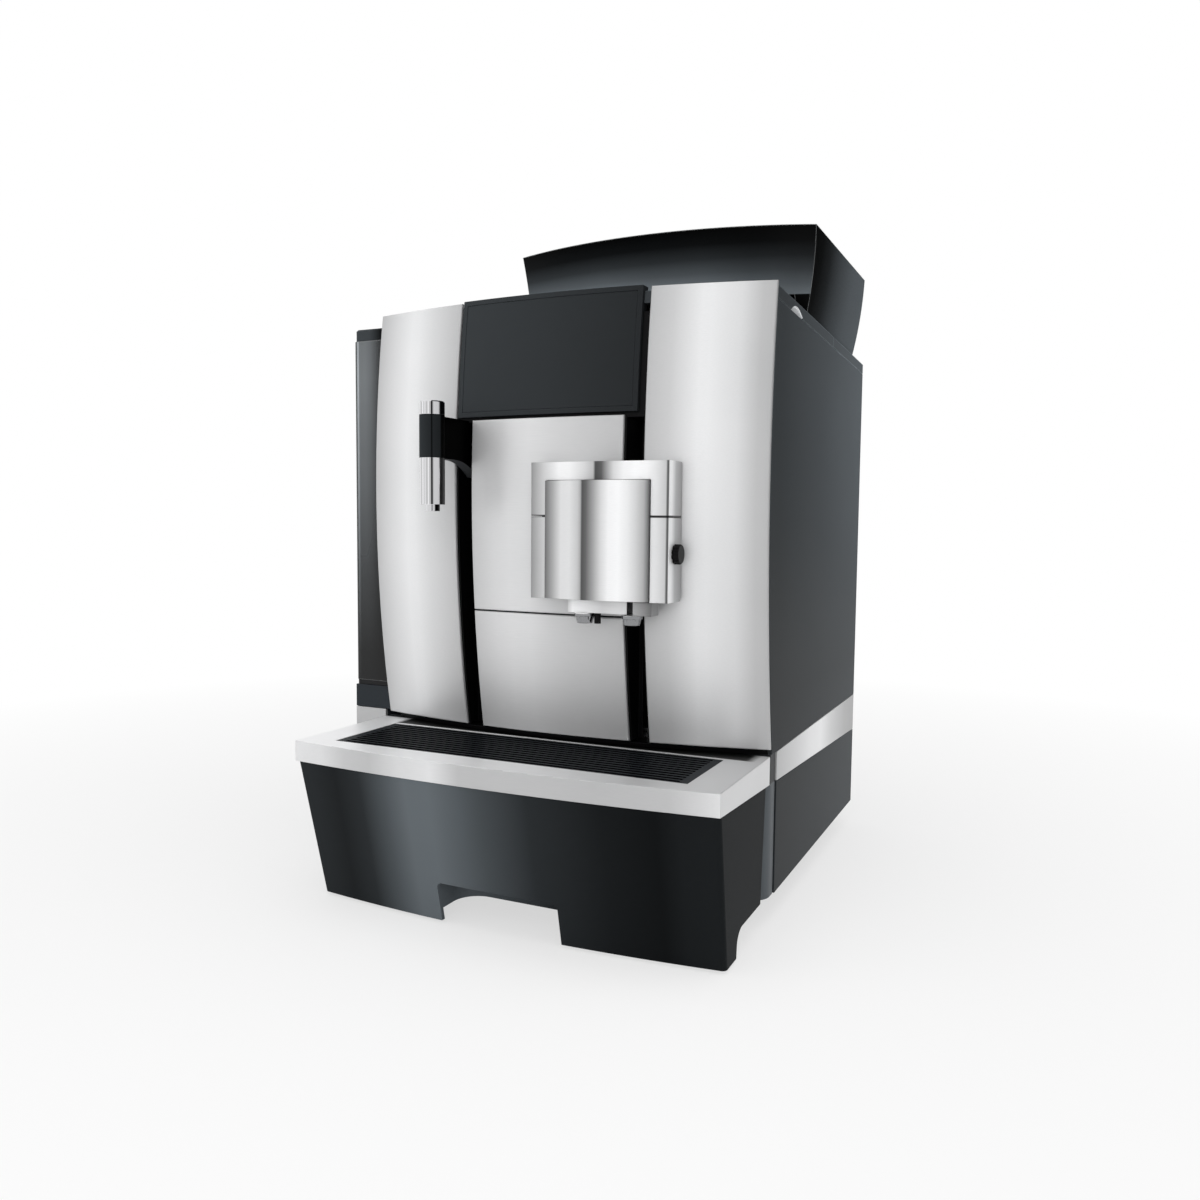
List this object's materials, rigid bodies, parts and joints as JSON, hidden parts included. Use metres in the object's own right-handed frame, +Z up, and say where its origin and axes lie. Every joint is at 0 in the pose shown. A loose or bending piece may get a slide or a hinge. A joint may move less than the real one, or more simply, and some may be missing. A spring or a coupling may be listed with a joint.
{
  "type": "countertop espresso machine",
  "caption": "Countertop bean-to-cup espresso machine with bowed aluminium front, sliding coffee spout, hot-water spout, side water tank, bean hopper and pull-out drip tray.",
  "frame": {"origin": "centre of the bounding box at the table surface, under the feet", "axes": "+Z up, front towards -Y, the water tank on the -X side"},
  "size_m": [0.4166, 0.4692, 0.5687],
  "materials": {
    "front_aluminium": "vertical brushed satin",
    "rim_aluminium": "satin",
    "spout_steel": "fine vertical brush",
    "chrome": "polished",
    "slate_panel": "fine moulded grain",
    "drawer_plastic": "satin moulded",
    "bay_grey": "satin moulded",
    "black_plastic": "moulded",
    "display_black": "satin black",
    "hopper_black": "gloss tinted",
    "tank_smoke": "smoke tinted, see-through",
    "rubber": "moulded",
    "sheet_steel": "zinc-plated",
    "motor_casing": "cast",
    "piston_plastic": "moulded",
    "pipe_silicone": "silicone",
    "board_green": "solder mask"
  },
  "bodies": {
    "chassis": {"front_panel_left": "front_aluminium", "front_panel_right": "front_aluminium", "centre_panel_upper": "front_aluminium", "centre_panel_lower": "front_aluminium", "trim_bands": "rim_aluminium", "right_side_panel": "slate_panel", "left_side_panel": "slate_panel", "base_side_panels": "slate_panel", "top_cover_front": "slate_panel", "top_cover_rear": "slate_panel", "rear_panel": "slate_panel", "tank_seat": "slate_panel", "bay_front_frame": "bay_grey", "front_frame": "black_plastic", "slot_liners": "black_plastic", "power_inlet": "black_plastic", "fan_frame": "black_plastic", "brew_frame": "black_plastic", "base_pan": "black_plastic", "display_bezel": "display_black", "display_glass": "display_black", "hopper": "hopper_black", "hopper_funnel": "hopper_black", "rubber_feet": "rubber", "bay_walls": "sheet_steel", "deck_plate": "sheet_steel", "frame_posts": "sheet_steel", "guide_rods": "sheet_steel", "upper_burr": "sheet_steel", "grinder_motor": "motor_casing", "grinder_housing": "motor_casing", "thermoblock": "motor_casing", "pump": "motor_casing", "brew_motor": "motor_casing", "water_pipes": "pipe_silicone", "circuit_boards": "board_green"},
    "drawer": {"tray_rim": "rim_aluminium", "drawer_front": "drawer_plastic", "drip_tray": "black_plastic", "grounds_container": "black_plastic"},
    "grid": {"drip_grid": "black_plastic"},
    "spout": {"spout_housing_upper": "spout_steel", "spout_housing_lower": "spout_steel", "spout_carriage": "black_plastic"},
    "spout_front": {"spout_cover": "spout_steel"},
    "head_left": {"spout_head_left": "spout_steel", "milk_outlet": "black_plastic"},
    "head_right": {"spout_head_right": "spout_steel"},
    "connector": {"milk_connector": "black_plastic"},
    "hot_water": {"hot_water_arm": "black_plastic", "hot_water_tube": "chrome"},
    "tank": {"water_tank": "tank_smoke"},
    "tank_cap": {"tank_lid": "tank_smoke"},
    "hopper_cap": {"hopper_lid": "hopper_black"},
    "chute_cap": {"chute_lid": "slate_panel"},
    "rocker": {"power_rocker": "black_plastic"},
    "fan": {"fan_rotor": "black_plastic"},
    "burr": {"lower_burr": "sheet_steel"},
    "piston": {"brew_piston": "piston_plastic"},
    "spindle": {"brew_spindle": "sheet_steel"}
  },
  "joints": [
    {"name": "drawer_slide", "type": "slide", "parent": "chassis", "child": "drawer", "axis": [0, -1, 0], "range_m": [0, 0.2]},
    {"name": "grid_lift", "type": "slide", "parent": "drawer", "child": "grid", "axis": [0, 0, 1], "range_m": [0, 0.018]},
    {"name": "spout_height", "type": "slide", "parent": "chassis", "child": "spout", "axis": [0, 0, 1], "range_m": [-0.032, 0.035]},
    {"name": "spout_cover_pull", "type": "slide", "parent": "spout", "child": "spout_front", "axis": [0, -1, 0], "range_m": [0, 0.03]},
    {"name": "head_right_spread", "type": "slide", "parent": "spout", "child": "head_right", "axis": [1, 0, 0], "range_m": [0, 0.006]},
    {"name": "head_left_spread", "type": "slide", "parent": "spout", "child": "head_left", "axis": [1, 0, 0], "range_m": [-0.006, 0]},
    {"name": "milk_connector_turn", "type": "hinge", "parent": "spout", "child": "connector", "pos_m": [0.13375, -0.1464, 0.3004], "axis": [1, 0, 0], "range_deg": [0, 90]},
    {"name": "hot_water_height", "type": "slide", "parent": "chassis", "child": "hot_water", "axis": [0, 0, 1], "range_m": [-0.11, 0]},
    {"name": "tank_lift", "type": "slide", "parent": "chassis", "child": "tank", "axis": [0, 0, 1], "range_m": [0, 0.2]},
    {"name": "tank_lid_hinge", "type": "hinge", "parent": "tank", "child": "tank_cap", "pos_m": [-0.15505, 0.0446, 0.4955], "axis": [0, 1, 0], "range_deg": [0, 88]},
    {"name": "hopper_lid_hinge", "type": "hinge", "parent": "chassis", "child": "hopper_cap", "pos_m": [0.07125, 0.17575, 0.56585], "axis": [-1, 0, 0], "range_deg": [0, 95]},
    {"name": "chute_lid_hinge", "type": "hinge", "parent": "chassis", "child": "chute_cap", "pos_m": [-0.10375, 0.0495, 0.49823], "axis": [-1, 0, 0], "range_deg": [0, 85]},
    {"name": "power_rocker_tilt", "type": "hinge", "parent": "chassis", "child": "rocker", "pos_m": [-0.07625, 0.2246, 0.068], "axis": [1, 0, 0], "range_deg": [-6, 6]},
    {"name": "fan_spin", "type": "hinge", "parent": "chassis", "child": "fan", "pos_m": [0.12375, 0.2156, 0.4], "axis": [0, 1, 0], "continuous": true},
    {"name": "burr_spin", "type": "hinge", "parent": "chassis", "child": "burr", "pos_m": [0.06875, 0.1006, 0.43], "axis": [0, 0, 1], "continuous": true},
    {"name": "piston_travel", "type": "slide", "parent": "chassis", "child": "piston", "axis": [0, 0, -1], "range_m": [0, 0.04]},
    {"name": "spindle_turn", "type": "hinge", "parent": "chassis", "child": "spindle", "pos_m": [0.00875, 0.0116, 0.25], "axis": [0, 0, 1], "range_deg": [-5, 725]}
  ],
  "couplings": [
    {"joint": "head_left_spread", "follows": "head_right_spread", "ratio": -1},
    {"joint": "spindle_turn", "follows": "piston_travel", "rad_per_m": 314.16}
  ]
}
